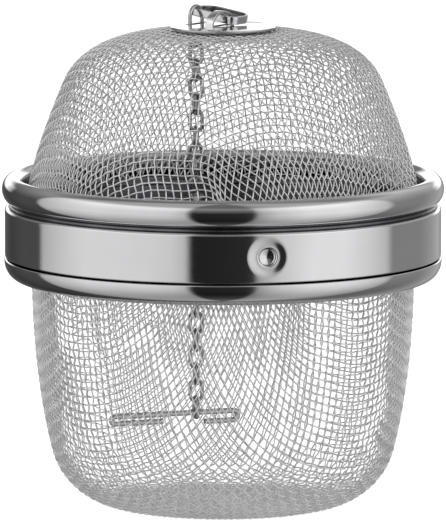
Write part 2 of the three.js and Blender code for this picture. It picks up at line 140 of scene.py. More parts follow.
direction = tree.nodes.new("ShaderNodeTexCoord")
from_front = tree.nodes.new("ShaderNodeMapping")
from_front.inputs["Rotation"].default_value = (0, 0, pi / 2)
tree.links.new(direction.outputs["Generated"], from_front.inputs["Vector"])
around = tree.nodes.new("ShaderNodeTexGradient")
around.gradient_type = "RADIAL"
tree.links.new(from_front.outputs[0], around.inputs["Vector"])
split = tree.nodes.new("ShaderNodeSeparateXYZ")
tree.links.new(direction.outputs["Generated"], split.inputs[0])
rise = math_node("MULTIPLY_ADD", split.outputs["Z"], 0.5)
rise.node.inputs[2].default_value = 0.5
panels = math_node("MULTIPLY", light_curve(around.outputs["Fac"], PANEL_LIGHT, -180, 180),
                   light_curve(rise, PANEL_FALL, -1, 1))
back = math_node("MULTIPLY", light_curve(around.outputs["Fac"], BACK_LIGHT, -180, 180),
                 light_curve(rise, BACK_HEIGHT, -1, 1))
soft = math_node("ADD", panels, light_curve(rise, OVERHEAD_LIGHT, -1, 1))
room = tree.nodes.new("ShaderNodeBackground")
tree.links.new(math_node("MAXIMUM", soft, back), room.inputs["Color"])
backdrop = tree.nodes.new("ShaderNodeBackground")
backdrop.inputs["Color"].default_value = WHITE
path = tree.nodes.new("ShaderNodeLightPath")
choose = tree.nodes.new("ShaderNodeMixShader")
world_output = tree.nodes.new("ShaderNodeOutputWorld")
tree.links.new(path.outputs["Is Camera Ray"], choose.inputs[0])
tree.links.new(room.outputs[0], choose.inputs[1])
tree.links.new(backdrop.outputs[0], choose.inputs[2])
tree.links.new(choose.outputs[0], world_output.inputs["Surface"])
bpy.context.scene.view_settings.view_transform = "Standard"

# ---- Base ring ----------------------------------------------------------------------------
# One band of 0.45 mm stainless sheet, roll formed: a rounded bead that wraps the basket's rim,
# a shelf, and an upright collar with three L-slots for the lid's lugs. Polished all over,
# with the faces that look inward painted darker as shade.
SHEET = 0.45
SHEET_EDGE_STEPS = 6
SHARPEST_BEND = 0.6
RING_STEPS = 360
WELD_GAP = 1e-4


def arc(centre, half_width, half_height, start, end, steps):
    """Points (radius, height) along part of an ellipse, in mm, with its angles in degrees."""
    angles = np.radians(np.linspace(start, end, steps + 1))
    return [(centre[0] + half_width * cos(a), centre[1] + half_height * sin(a)) for a in angles]


def finish_bmesh(bm, name, smooth=True):
    """A new object from a bmesh in mm, linked to the scene, with its faces smooth."""
    bmesh.ops.scale(bm, vec=(MM, MM, MM), verts=bm.verts)
    mesh = bpy.data.meshes.new(name)
    bm.to_mesh(mesh)
    bm.free()
    if smooth:
        mesh.shade_smooth()
    piece = bpy.data.objects.new(name, mesh)
    bpy.context.scene.collection.objects.link(piece)
    return piece


def sheet_section(outline, thickness):
    """The closed section of a bent sheet: its outside, its inside, and edges rounded over."""
    path = np.array(outline, float)
    steps = np.diff(path, axis=0)
    steps /= np.linalg.norm(steps, axis=1)[:, None]
    along = np.vstack([steps[:1], steps[:-1] + steps[1:], steps[-1:]])
    along /= np.linalg.norm(along, axis=1)[:, None]
    cosines = np.ones(len(path))
    cosines[1:-1] = np.maximum((along[1:-1] * steps[:-1]).sum(1), SHARPEST_BEND)
    left = np.stack([-along[:, 1], along[:, 0]], 1) / cosines[:, None]
    inside = path + left * thickness
    middle_start = (path[0] + inside[0]) / 2
    middle_end = (path[-1] + inside[-1]) / 2
    half = thickness / 2
    half_turn = np.linspace(0, pi, SHEET_EDGE_STEPS + 1)
    cap_end = [middle_end + half * (-left[-1] * cos(a) + steps[-1] * sin(a)) - steps[-1] * half
               for a in half_turn]
    cap_start = [middle_start + half * (left[0] * cos(a) - steps[0] * sin(a)) + steps[0] * half
                 for a in half_turn]
    return [tuple(p) for p in [*path[1:-1], *cap_end, *inside[1:-1][::-1], *cap_start]]


def turned_section(section, steps):
    """A closed section turned all the way round the Z axis."""
    bm = bmesh.new()
    points = [bm.verts.new(Vector((r, 0, z))) for r, z in section]
    edges = [bm.edges.new((a, b)) for a, b in zip(points, points[1:] + points[:1])]
    bmesh.ops.spin(bm, geom=points + edges, cent=(0, 0, 0), axis=(0, 0, 1),
                   angle=2 * pi, steps=steps, use_merge=True)
    bmesh.ops.remove_doubles(bm, verts=bm.verts, dist=WELD_GAP)
    bmesh.ops.recalc_face_normals(bm, faces=bm.faces)
    return bm


POLISH_STRETCH = (40, 40, 900)
POLISH_SCALE = 6.0
CLOUD_SCALE = 120.0
NOISE_LOW = 0.3
NOISE_HIGH = 0.7
GLOSSIEST = 0.75
DULLEST = 1.3
WAVE_DEPTH = 0.0002
LINE_DEPTH = 0.00002
SCRATCH_TURN = (0.5, 0.9, 0.3)
SCRATCH_STRETCH = (60, 1400, 1400)
SCRATCH_LOW = 0.66
SCRATCH_HIGH = 0.74


def steel(name, color, roughness, lines=0.0, scratches=0.0, streak=0.05, waves=0.0):
    """Stainless steel: polish lines round the ring, fine scratches, and uneven gloss."""
    material = bpy.data.materials.new(name)
    material.use_nodes = True
    nodes, links = material.node_tree.nodes, material.node_tree.links
    shader = nodes["Principled BSDF"]
    shader.inputs["Metallic"].default_value = 1.0
    place = nodes.new("ShaderNodeTexCoord")
    stretch = nodes.new("ShaderNodeMapping")
    stretch.inputs["Scale"].default_value = POLISH_STRETCH
    links.new(place.outputs["Object"], stretch.inputs["Vector"])
    polish = nodes.new("ShaderNodeTexNoise")
    polish.inputs["Scale"].default_value = POLISH_SCALE
    polish.inputs["Detail"].default_value = 3.0
    links.new(stretch.outputs[0], polish.inputs["Vector"])
    clouds = nodes.new("ShaderNodeTexNoise")
    clouds.inputs["Scale"].default_value = CLOUD_SCALE
    clouds.inputs["Detail"].default_value = 4.0
    links.new(place.outputs["Object"], clouds.inputs["Vector"])
    shade = nodes.new("ShaderNodeValToRGB")
    shade.color_ramp.elements[0].position = NOISE_LOW
    shade.color_ramp.elements[1].position = NOISE_HIGH
    shade.color_ramp.elements[0].color = (*[c * (1 - streak) for c in color], 1)
    shade.color_ramp.elements[1].color = (*color, 1)
    links.new(clouds.outputs["Fac"], shade.inputs["Fac"])
    links.new(shade.outputs["Color"], shader.inputs["Base Color"])
    gloss = nodes.new("ShaderNodeMapRange")
    gloss.inputs["From Min"].default_value = NOISE_LOW
    gloss.inputs["From Max"].default_value = NOISE_HIGH
    gloss.inputs["To Min"].default_value = roughness * GLOSSIEST
    gloss.inputs["To Max"].default_value = roughness * DULLEST
    links.new(polish.outputs["Fac"], gloss.inputs["Value"])
    links.new(gloss.outputs[0], shader.inputs["Roughness"])
    wavy = nodes.new("ShaderNodeBump")
    wavy.inputs["Strength"].default_value = waves
    wavy.inputs["Distance"].default_value = WAVE_DEPTH
    links.new(clouds.outputs["Fac"], wavy.inputs["Height"])
    bump = nodes.new("ShaderNodeBump")
    links.new(wavy.outputs[0], bump.inputs["Normal"])
    bump.inputs["Strength"].default_value = lines
    bump.inputs["Distance"].default_value = LINE_DEPTH
    links.new(polish.outputs["Fac"], bump.inputs["Height"])
    last = bump
    if scratches:
        turn = nodes.new("ShaderNodeMapping")
        turn.inputs["Rotation"].default_value = SCRATCH_TURN
        turn.inputs["Scale"].default_value = SCRATCH_STRETCH
        links.new(place.outputs["Object"], turn.inputs["Vector"])
        marks = nodes.new("ShaderNodeTexNoise")
        marks.inputs["Scale"].default_value = 1.0
        marks.inputs["Detail"].default_value = 2.0
        links.new(turn.outputs[0], marks.inputs["Vector"])
        rare = nodes.new("ShaderNodeMapRange")
        rare.inputs["From Min"].default_value = SCRATCH_LOW
        rare.inputs["From Max"].default_value = SCRATCH_HIGH
        links.new(marks.outputs["Fac"], rare.inputs["Value"])
        scratch = nodes.new("ShaderNodeBump")
        scratch.inputs["Strength"].default_value = scratches
        scratch.inputs["Distance"].default_value = LINE_DEPTH
        links.new(rare.outputs[0], scratch.inputs["Height"])
        links.new(bump.outputs[0], scratch.inputs["Normal"])
        last = scratch
    links.new(last.outputs[0], shader.inputs["Normal"])
    return material


INWARD_SHARE = 0.35


def paint_inward_shade(bm, low, high):
    """Gives the faces that look inward between two heights the second material, a painted shade."""
    for face in bm.faces:
        middle = face.calc_center_median()
        inward = -face.normal.x * middle.x - face.normal.y * middle.y
        if inward > INWARD_SHARE * hypot(middle.x, middle.y) and low < middle.z < high:
            face.material_index = 1


SLOT_CORNER = 0.4


def block(name, size, place, turn):
    """A block with its edges along X rounded, turned about the Z axis once it is in place."""
    bm = bmesh.new()
    bmesh.ops.create_cube(bm, size=1,
                          matrix=Matrix.Translation(place) @ Matrix.Diagonal((*size, 1)))
    radial = [e for e in bm.edges if abs((e.verts[0].co - e.verts[1].co).normalized().x) > 0.9]
    bmesh.ops.bevel(bm, geom=radial, offset=SLOT_CORNER, segments=4, profile=0.5, affect="EDGES",
                    material=-1)
    bmesh.ops.rotate(bm, verts=bm.verts, cent=(0, 0, 0),
                     matrix=Matrix.Rotation(radians(turn), 3, "Z"))
    return finish_bmesh(bm, name, smooth=False)


def cut_away(piece, cutters):
    """Cuts the cutters out of a piece for good, and removes them."""
    for cutter in cutters:
        modifier = piece.modifiers.new("cut", "BOOLEAN")
        modifier.operation = "DIFFERENCE"
        modifier.solver = "EXACT"
        modifier.object = cutter
    graph = bpy.context.evaluated_depsgraph_get()
    mesh = bpy.data.meshes.new_from_object(piece.evaluated_get(graph))
    piece.modifiers.clear()
    piece.data = mesh
    for cutter in cutters:
        bpy.data.objects.remove(cutter)


BEAD_LIP_RADIUS = 34.3
BEAD_FLAT_END = 35.5
BEAD_RADIUS = 38.5
BEAD_BOTTOM = 40.15
BEAD_LIP = 0.15
SHELF = 43.95
SHELF_CORNER = 0.3
COLLAR_BEND = 0.25
COLLAR_RADIUS = 37.3
COLLAR_TOP = 52.35
LUG_ANGLES = [-78.4, 41.6, 161.6]
SLOT_HALF_ANGLE = 3.09
SLOT_FLOOR = 46.74
SLOT_ROOF = 50.76
ENTRY_CUT_HEIGHT = 10
ENTRY_CUT_DEPTH = 3
RUN_CUT_DEPTH = 3.6
RUN_CUT_INSET = 0.5
BEAD_STEPS = 24
RING_SHARP_ANGLE = radians(40)
LOCK_TURN = 25.0

entry = 2 * COLLAR_RADIUS * sin(radians(SLOT_HALF_ANGLE))
run = 2 * (COLLAR_RADIUS - 1) * sin(radians(SLOT_HALF_ANGLE + LOCK_TURN / 2))
sheet_middle = COLLAR_RADIUS - SHEET / 2
slot_cutters = []
for k, angle in enumerate(LUG_ANGLES):
    slot_cutters.append(block(
        f"slot_entry_{k}", (ENTRY_CUT_DEPTH, entry, ENTRY_CUT_HEIGHT),
        (sheet_middle, 0, SLOT_FLOOR + ENTRY_CUT_HEIGHT / 2), angle))
    slot_cutters.append(block(
        f"slot_run_{k}", (RUN_CUT_DEPTH, run, SLOT_ROOF - SLOT_FLOOR),
        (sheet_middle - RUN_CUT_INSET, 0, (SLOT_FLOOR + SLOT_ROOF) / 2), angle - LOCK_TURN / 2))

base_outline = [
    (BEAD_LIP_RADIUS, BEAD_BOTTOM + SHEET / 2), (BEAD_LIP_RADIUS + BEAD_LIP, BEAD_BOTTOM),
    *arc((BEAD_FLAT_END, SHELF - SHEET), BEAD_RADIUS - BEAD_FLAT_END, SHELF - SHEET - BEAD_BOTTOM,
         -90, 0, BEAD_STEPS),
    *arc((BEAD_RADIUS - SHELF_CORNER, SHELF - SHELF_CORNER), SHELF_CORNER, SHELF_CORNER, 10, 90, 5),
    *arc((COLLAR_RADIUS + COLLAR_BEND, SHELF + COLLAR_BEND), COLLAR_BEND, COLLAR_BEND, 270, 180, 4),
    (COLLAR_RADIUS, COLLAR_TOP)]
base_bm = turned_section(sheet_section(base_outline, SHEET), RING_STEPS)
# Painted shade: the faces that look inward get a dark colour, as if in shadow inside the infuser.
paint_inward_shade(base_bm, BEAD_BOTTOM + SHELF_CORNER, COLLAR_TOP)
base_ring = finish_bmesh(base_bm, "base_ring_sheet")
RING_COLOR = (0.66, 0.66, 0.67)
# The second ring colour is painted shade for the faces that look inward.
RING_SHADE_COLOR = (0.2, 0.2, 0.21)
ring_steel = steel("ring_steel", RING_COLOR, roughness=0.07, lines=0.08, scratches=0.12,
                   waves=0.05)
ring_painted_shade = steel("ring_painted_shade", RING_SHADE_COLOR, roughness=0.3, lines=0.1, streak=0.4)
cut_away(base_ring, slot_cutters)
for finish in (ring_steel, ring_painted_shade):
    base_ring.data.materials.append(finish)
base_ring.data.set_sharp_from_angle(angle=RING_SHARP_ANGLE)
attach(base_ring, "base")
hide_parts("base_ring")

# ---- Lid ring -----------------------------------------------------------------------------
# One band of the same sheet: a straight skirt that drops over the collar, a rounded shoulder,
# a tight groove and a fat rolled bead. Three round lugs are punched into the skirt.
SKIRT_RADIUS = 38.4
SKIRT_BOTTOM = 44.25
SHOULDER_TOP = 52.95
SHOULDER_RADIUS = 0.6
GROOVE_CENTRE = (37.6, 53.33)
GROOVE_RADIUS = 0.38
ROLL_CENTRE = (37.0, 56.07)
ROLL_HALF_WIDTH = 1.9
ROLL_HALF_HEIGHT = 2.4
ROLL_START = -71
ROLL_END = 195
ROLL_STEPS = 40
GROOVE_END = -247
GROOVE_STEPS = 10
SHOULDER_STEPS = 8
LID_STEPS = 480
SKIRT_ROW = 0.5
SKIRT_FIRST_ROW = 0.3
SKIRT_PLAIN_TOP = 0.8
LUG_HEIGHT = 48.75
LUG_DISH = 0.24
LUG_WALL = 0.5
LUG_BOWL = 0.38
LUG_REACH = 3.7
LUG_DISH_START = 1.9
LUG_WALL_FOOT = 1.3
LUG_WALL_TOP = 1.72
LUG_BOWL_RADIUS = 1.5
LUG_CUTS = 3
SKIN = 0.1
GROOVE_SHADE_LOW = SHOULDER_TOP - 0.02
GROOVE_SHADE_HIGH = SHOULDER_TOP + 0.8
GROOVE_SHADE_RADIUS = GROOVE_CENTRE[0] + 0.2

lid_outline = [
    (SKIRT_RADIUS, SKIRT_BOTTOM),
    *[(SKIRT_RADIUS, z) for z in np.arange(SKIRT_BOTTOM + SKIRT_FIRST_ROW,
                                           SHOULDER_TOP - SKIRT_PLAIN_TOP, SKIRT_ROW)],
    *arc((SKIRT_RADIUS - SHOULDER_RADIUS, SHOULDER_TOP - SHOULDER_RADIUS), SHOULDER_RADIUS,
         SHOULDER_RADIUS, 0, 90, SHOULDER_STEPS),
    *arc(GROOVE_CENTRE, GROOVE_RADIUS, GROOVE_RADIUS, -90, GROOVE_END, GROOVE_STEPS),
    *arc(ROLL_CENTRE, ROLL_HALF_WIDTH, ROLL_HALF_HEIGHT, ROLL_START, ROLL_END, ROLL_STEPS)]
lid_bm = turned_section(sheet_section(lid_outline, SHEET), LID_STEPS)
# The lid's inward faces get the same painted shade.
paint_inward_shade(lid_bm, SKIRT_BOTTOM - 1, ROLL_CENTRE[1] + 1.5)
# Painted shade: the faces in the groove get the dark second material, for the dark line of shadow under
# the roll.
for face in lid_bm.faces:
    middle = face.calc_center_median()
    if (GROOVE_SHADE_LOW < middle.z < GROOVE_SHADE_HIGH
            and hypot(middle.x, middle.y) < GROOVE_SHADE_RADIUS):
        face.material_index = 1


def lug_distance(point):
    """How far a point on the skirt is from the middle of the nearest lug, in mm."""
    azimuth = degrees(atan2(point.y, point.x))
    turns = [(azimuth - angle + 180) % 360 - 180 for angle in LUG_ANGLES]
    return hypot(radians(min(turns, key=abs)) * SKIRT_RADIUS, point.z - LUG_HEIGHT)


def eased(value, low, high):
    """Rises smoothly from 0 to 1 as the value goes from low to high."""
    t = min(max((value - low) / (high - low), 0), 1)
    return t * t * (3 - 2 * t)


fine = [e for e in lid_bm.edges if all(
    hypot(v.co.x, v.co.y) > SKIRT_RADIUS - SKIN and lug_distance(v.co) < LUG_REACH + 0.3
    for v in e.verts)]
bmesh.ops.subdivide_edges(lid_bm, edges=fine, cuts=LUG_CUTS, use_grid_fill=True)
for vert in lid_bm.verts:
    radius = hypot(vert.co.x, vert.co.y)
    distance = lug_distance(vert.co)
    if distance > LUG_REACH or radius < SKIRT_RADIUS - 0.6:
        continue
    surface = SKIRT_RADIUS if radius > SKIRT_RADIUS - SKIN else SKIRT_RADIUS - SHEET
    inward = (LUG_DISH * (1 - eased(distance, LUG_DISH_START, LUG_REACH))
              + LUG_WALL * (1 - eased(distance, LUG_WALL_FOOT, LUG_WALL_TOP))
              + LUG_BOWL * (1 - eased(distance, 0, LUG_BOWL_RADIUS)))
    vert.co.x *= (surface - inward) / radius
    vert.co.y *= (surface - inward) / radius
lid_ring = finish_bmesh(lid_bm, "lid_ring_sheet")
for finish in (ring_steel, ring_painted_shade):
    lid_ring.data.materials.append(finish)
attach(lid_ring, "lid")
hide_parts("lid_ring")

# ---- Wire cloth of the basket and the dome ------------------------------------------------
# Plain-woven stainless cloth, 0.26 mm wire at a 1.35 mm pitch, pressed to shape in one piece.
# Pressing shears its square holes into narrow diamonds between the two wire directions.
PITCH = 1.35
CLOTH_WIRE = 0.262
CLOTH_WAVE = 0.135
WAVE_HALF_FLAT = 0.2
NET_CELLS = 4
SHEAR_LOCK = 0.62
NET_ROUNDS = 1500
NET_STIFFNESS = 0.6


def bend(start, corner, end, steps):
    """Points of a bend that leaves start and reaches end, both heading for a corner."""
    t = np.linspace(0, 1, steps + 1)[:, None]
    start, corner, end = np.array(start), np.array(corner), np.array(end)
    return (1 - t) ** 2 * start + 2 * t * (1 - t) * corner + t ** 2 * end


def on_profile(net, profile, eye):
    """Moves points to a turned surface, along lines from a point on its axis."""
    radius, height = profile.T
    length = np.r_[0, np.cumsum(np.hypot(np.diff(radius), np.diff(height)))]
    side = np.sign(height[0] - eye)
    out = np.hypot(net[..., 0], net[..., 1])
    reach = np.interp(np.arctan2(out, (net[..., 2] - eye) * side),
                      np.arctan2(radius, (height - eye) * side), length)
    scale = np.interp(reach, length, radius) / np.maximum(out, 1e-9)
    net[..., 0] *= scale
    net[..., 1] *= scale
    net[..., 2] = np.interp(reach, length, height)
    return reach


def pull(a, b, length, at_least):
    """Brings pairs of points to a length apart, or to at least that length."""
    count = min(len(a), len(b))
    a, b = a[:count], b[:count]
    gap = b - a
    now = np.maximum(np.linalg.norm(gap, axis=-1, keepdims=True), 1e-9)
    wanted = np.maximum(now, length) if at_least else length
    move = gap * (now - wanted) / now * 0.5
    a += move
    b -= move


def pressed_net(profile, eye, reach):
    """Where the crossings of a square net go when it is pressed over a turned surface."""
    cell = PITCH * NET_CELLS
    half = int(reach / cell) + 2
    i, j = np.meshgrid(np.arange(-half, half + 1.0), np.arange(-half, half + 1.0), indexing="ij")
    radius, height = profile.T
    length = np.r_[0, np.cumsum(np.hypot(np.diff(radius), np.diff(height)))]
    rho = np.hypot(i, j) * cell
    theta = np.arctan2(j, i)
    out = np.interp(rho, length, radius)
    net = np.stack([out * np.cos(theta), out * np.sin(theta), np.interp(rho, length, height)], -1)
    for step in range(NET_ROUNDS):
        for turned in (net, net.swapaxes(0, 1)):
            for odd in (0, 1):
                pull(turned[odd:-1:2], turned[odd + 1::2], cell, False)
        for mirrored in (net, net[:, ::-1]):
            for odd in (0, 1):
                pull(mirrored[odd:-1:2, :-1], mirrored[odd + 1::2, 1:], SHEAR_LOCK * cell, True)
        smooth = NET_STIFFNESS * (1 - step / NET_ROUNDS) / 4
        still = net.copy()
        net[1:-1] += smooth * (still[:-2] + still[2:] - 2 * still[1:-1])
        net[:, 1:-1] += smooth * (still[:, :-2] + still[:, 2:] - 2 * still[:, 1:-1])
        on_profile(net, profile, eye)
    return net


def between(net, places):
    """Smooth rows of a net at fractional places along its first axis."""
    first = np.clip(np.floor(places).astype(int), 1, len(net) - 3)
    t = (places - first)[:, None, None]
    a, b, c, d = net[first - 1], net[first], net[first + 1], net[first + 2]
    return b + 0.5 * t * (c - a + t * (2 * a - 5 * b + 4 * c - d + t * (3 * (b - c) + d - a)))


def woven_wires(net, profile, eye, reach, turn, swap, keep):
    """The wires of one direction, as lists of points that wave over and under the others."""
    if swap:
        net = net.swapaxes(0, 1)
    count = (len(net) - 1) * NET_CELLS + 1
    wires = np.arange(count)
    stops = np.arange(count)
    along = np.stack([stops - WAVE_HALF_FLAT, stops + WAVE_HALF_FLAT], 1).ravel()[1:-1]
    crossing = np.repeat(stops, 2)[1:-1]
    rows = between(net, wires / NET_CELLS)
    points = between(rows.swapaxes(0, 1), along / NET_CELLS).swapaxes(0, 1).copy()
    length = on_profile(points, profile, eye)
    radius, height = profile.T
    arc_length = np.r_[0, np.cumsum(np.hypot(np.diff(radius), np.diff(height)))]
    slope_r = np.interp(length, arc_length, np.gradient(radius, arc_length))
    slope_z = np.interp(length, arc_length, np.gradient(height, arc_length))
    steep = np.hypot(slope_r, slope_z)
    side = np.sign(height[0] - eye)
    out = np.maximum(np.hypot(points[..., 0], points[..., 1]), 1e-9)
    normal = np.stack([-side * slope_z * points[..., 0] / out,
                       -side * slope_z * points[..., 1] / out, side * slope_r], -1)
    normal /= steep[..., None]
    over = np.where((wires[:, None] + crossing[None] + int(swap)) % 2, 1.0, -1.0)
    points += normal * (over * CLOTH_WAVE)[..., None]
    angle = radians(turn)
    x, y = points[..., 0].copy(), points[..., 1].copy()
    points[..., 0] = x * cos(angle) - y * sin(angle)
    points[..., 1] = x * sin(angle) + y * cos(angle)
    strands = []
    for row, reached in zip(points, length):
        strand = []
        for point, far in zip(row, reached):
            if far <= reach and keep(point):
                strand.append(point)
            elif len(strand) > 2:
                strands.append(strand)
                strand = []
            else:
                strand = []
        if len(strand) > 2:
            strands.append(strand)
    return strands


def wire_piece(name, strands, thickness, resolution=1):
    """Round wires through lists of points in mm, made one mesh."""
    curve = bpy.data.curves.new(name, "CURVE")
    curve.dimensions = "3D"
    curve.bevel_depth = thickness / 2 * MM
    curve.bevel_resolution = resolution
    curve.use_fill_caps = True
    for strand in strands:
        spline = curve.splines.new("POLY")
        spline.points.add(len(strand) - 1)
        flat = np.ones((len(strand), 4))
        flat[:, :3] = np.array(strand) * MM
        spline.points.foreach_set("co", flat.ravel())
        spline.use_smooth = True
    helper = bpy.data.objects.new(name + "_curve", curve)
    bpy.context.scene.collection.objects.link(helper)
    graph = bpy.context.evaluated_depsgraph_get()
    mesh = bpy.data.meshes.new_from_object(helper.evaluated_get(graph))
    mesh.name = name
    bpy.data.objects.remove(helper)
    bpy.data.curves.remove(curve)
    piece = bpy.data.objects.new(name, mesh)
    bpy.context.scene.collection.objects.link(piece)
    return piece


CLOTH_COLOR = (0.88, 0.88, 0.89)
CLOTH_METALLIC = 0.9
cloth_steel = steel("cloth_wire", CLOTH_COLOR, roughness=0.36, lines=0.1, streak=0.1)
cloth_shader = cloth_steel.node_tree.nodes["Principled BSDF"]
cloth_shader.inputs["Metallic"].default_value = CLOTH_METALLIC

FLOOR_RADIUS = 17.6
CORNER_RADIUS = 13.0
CORNER_END = 14.0
WALL_RADIUS = 33.5
MOUTH = (33.7, 40.35)
CLOTH_HALF = 0.275
FLAT_POINTS = 40
BEND_STEPS = 60
PRESSED_POINTS = FLAT_POINTS + 2 * BEND_STEPS + 1
WIRE_OVERHANG = 0.6
NET_SPARE = 3
BASKET_EYE = 28.0
BASKET_TURN = 45.0

corner = arc((FLOOR_RADIUS, CORNER_RADIUS), CORNER_RADIUS - CLOTH_HALF, CORNER_RADIUS - CLOTH_HALF,
             -90, -CORNER_END, BEND_STEPS)
corner_end = corner[-1]
wall_turn = corner_end[1] + (WALL_RADIUS - CLOTH_HALF - corner_end[0]) / tan(radians(CORNER_END))
basket_profile = np.vstack([
    np.stack([np.linspace(0, FLOOR_RADIUS - 0.2, FLAT_POINTS),
              np.full(FLAT_POINTS, CLOTH_HALF)], 1),
    corner,
    bend(corner_end, (WALL_RADIUS - CLOTH_HALF, wall_turn), (MOUTH[0] - CLOTH_HALF, MOUTH[1]),
         BEND_STEPS)[1:],
    np.stack([np.full(FLAT_POINTS, MOUTH[0] - CLOTH_HALF), np.linspace(41, 120, FLAT_POINTS)], 1)])
basket_reach = np.hypot(*np.diff(basket_profile[:PRESSED_POINTS], axis=0).T).sum() + WIRE_OVERHANG

basket_net = pressed_net(basket_profile, BASKET_EYE, basket_reach + NET_SPARE)
for name, swap in (("basket_warp", False), ("basket_weft", True)):
    wires = woven_wires(basket_net, basket_profile, BASKET_EYE, basket_reach, BASKET_TURN, swap,
                        lambda point: True)
    cloth = wire_piece(name, wires, CLOTH_WIRE)
    cloth.data.materials.append(cloth_steel)
    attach(cloth, "base")
    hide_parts("basket_cloth")

DOME_FOOT = (34.8 - CLOTH_HALF, 53.9)
DOME_SHOULDER = (28.2 - CLOTH_HALF, 74.8)
DOME_CROWN_RADIUS = 10.5
CROWN = 84.0 - CLOTH_HALF
FOOT_SLOPE = 0.15
SHOULDER_SLOPE = 0.42
CROWN_SLOPE = 0.05
DOME_EYE = 50.0
DOME_TURN = -113.0

foot_line = DOME_FOOT[0] + FOOT_SLOPE * DOME_FOOT[1]
shoulder_line = DOME_SHOULDER[0] + SHOULDER_SLOPE * DOME_SHOULDER[1]
dome_lean = (shoulder_line - foot_line) / (SHOULDER_SLOPE - FOOT_SLOPE)
dome_turn = CROWN - CROWN_SLOPE * (DOME_SHOULDER[0] - DOME_CROWN_RADIUS)
below_foot = np.linspace(0.5, 70, FLAT_POINTS)
dome_profile = np.vstack([
    np.stack([np.linspace(0, DOME_CROWN_RADIUS - 0.2, FLAT_POINTS),
              np.full(FLAT_POINTS, CROWN)], 1),
    bend((DOME_CROWN_RADIUS, CROWN), (shoulder_line - SHOULDER_SLOPE * dome_turn, dome_turn),
         DOME_SHOULDER, BEND_STEPS),
    bend(DOME_SHOULDER, (foot_line - FOOT_SLOPE * dome_lean, dome_lean), DOME_FOOT, BEND_STEPS)[1:],
    np.stack([DOME_FOOT[0] + FOOT_SLOPE * below_foot, DOME_FOOT[1] - below_foot], 1)])
dome_reach = np.hypot(*np.diff(dome_profile[:PRESSED_POINTS], axis=0).T).sum()

FITTING_TURN = radians(-35)
RING_PLACE = (-4.744, 3.737)
CLOTH_SLOT_HALF_WIDTH = 1.1
CLOTH_SLOT_HALF_LENGTH = 2.9


def clear_of_slot(point):
    """Whether a point is outside the slot for the chain's ring in the crown."""
    x, y = point[0] - RING_PLACE[0], point[1] - RING_PLACE[1]
    across = x * cos(FITTING_TURN) + y * sin(FITTING_TURN)
    along = -x * sin(FITTING_TURN) + y * cos(FITTING_TURN)
    return (point[2] < CROWN - 1 or abs(across) > CLOTH_SLOT_HALF_WIDTH
            or abs(along) > CLOTH_SLOT_HALF_LENGTH)


dome_net = pressed_net(dome_profile, DOME_EYE, dome_reach + NET_SPARE)
for name, swap in (("dome_warp", False), ("dome_weft", True)):
    wires = woven_wires(dome_net, dome_profile, DOME_EYE, dome_reach, DOME_TURN, swap,
                        clear_of_slot)
    cloth = wire_piece(name, wires, CLOTH_WIRE)
    cloth.data.materials.append(cloth_steel)
    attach(cloth, "lid")
    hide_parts("dome_cloth")

# ---- Hoops, clamp ring and inner plate ----------------------------------------------------
# Drawn wire hoops stiffen the two rims, and a flat ring clamps the dome's cloth in the groove.
# A thin plate inside the crown is spot welded through the cloth to the disc on top.
WIRE_COLOR = (0.6, 0.6, 0.61)
BASE_HOOP_PLACE = (36.6, 42.45)
BASE_HOOP_WIRE = 0.7
LID_HOOP_WIRE = 1.1
HOOP_STEPS = 180
HOOP_SIDES = 16

wire_steel = steel("wire_steel", WIRE_COLOR, roughness=0.2, lines=0.1, streak=0.2)


def hoop(name, place, wire_radius):
    """A closed hoop of round wire about the Z axis, from the radius and height of its middle."""
    bm = bmesh.new()
    upright = Matrix.Translation((place[0], 0, place[1])) @ Matrix.Rotation(pi / 2, 4, "X")
    bmesh.ops.create_circle(bm, cap_ends=False, segments=HOOP_SIDES, radius=wire_radius,
                            matrix=upright)
    bmesh.ops.spin(bm, geom=bm.verts[:] + bm.edges[:], cent=(0, 0, 0), axis=(0, 0, 1),
                   angle=2 * pi, steps=HOOP_STEPS, use_merge=True)
    bmesh.ops.remove_doubles(bm, verts=bm.verts, dist=WELD_GAP)
    bmesh.ops.recalc_face_normals(bm, faces=bm.faces)
    piece = finish_bmesh(bm, name)
    piece.data.materials.append(wire_steel)
    return piece


base_hoop = hoop("base_rim_hoop", BASE_HOOP_PLACE, BASE_HOOP_WIRE)
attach(base_hoop, "base")
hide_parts("base_rim_wire")
lid_hoop = hoop("lid_rim_hoop", ROLL_CENTRE, LID_HOOP_WIRE)
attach(lid_hoop, "lid_lift")
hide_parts("lid_rim_wire")

DISC_COLOR = (0.78, 0.78, 0.79)
disc_steel = steel("disc_steel", DISC_COLOR, roughness=0.1, lines=0.03, scratches=0.04)
for name in ("dome_clamp_ring", "inner_plate"):
    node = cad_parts[name]
    node.data.materials.clear()
    node.data.materials.append(wire_steel if name == "dome_clamp_ring" else disc_steel)

# ---- Disc and bridge ----------------------------------------------------------------------
# A blanked disc of bright stainless sheet with its edge rounded over. A bridge is lanced up
# from it to hold the handle loop, and a slot beside the bridge lets the chain's ring through.
DISC_RADIUS = 9.3
DISC_TOP = 84.75
DISC_EDGE = 0.17
DISC_STEPS = 160
DISC_SHARP_ANGLE = radians(35)
# The edge colour is painted shade for the steep faces of the disc's rounded edge.
DISC_RIM_SHADE_COLOR = (0.45, 0.45, 0.46)
RING_SLOT_LENGTH = 5.4
RING_SLOT_WIDTH = 1.7
SLOT_SIDES = 24
BRIDGE_PLACE = (-0.567, 0.812)
BRIDGE_WIDTH = 1.6
BRIDGE_HALF_SPAN = 2.9
BRIDGE_RISE = 2.2
BRIDGE_EDGE = 0.08
BRIDGE_STEPS = 32
BRIDGE_SQUARENESS = 0.9
STRIP_SHARP_ANGLE = radians(50)
STRIP_CORNER_ANGLE = radians(60)

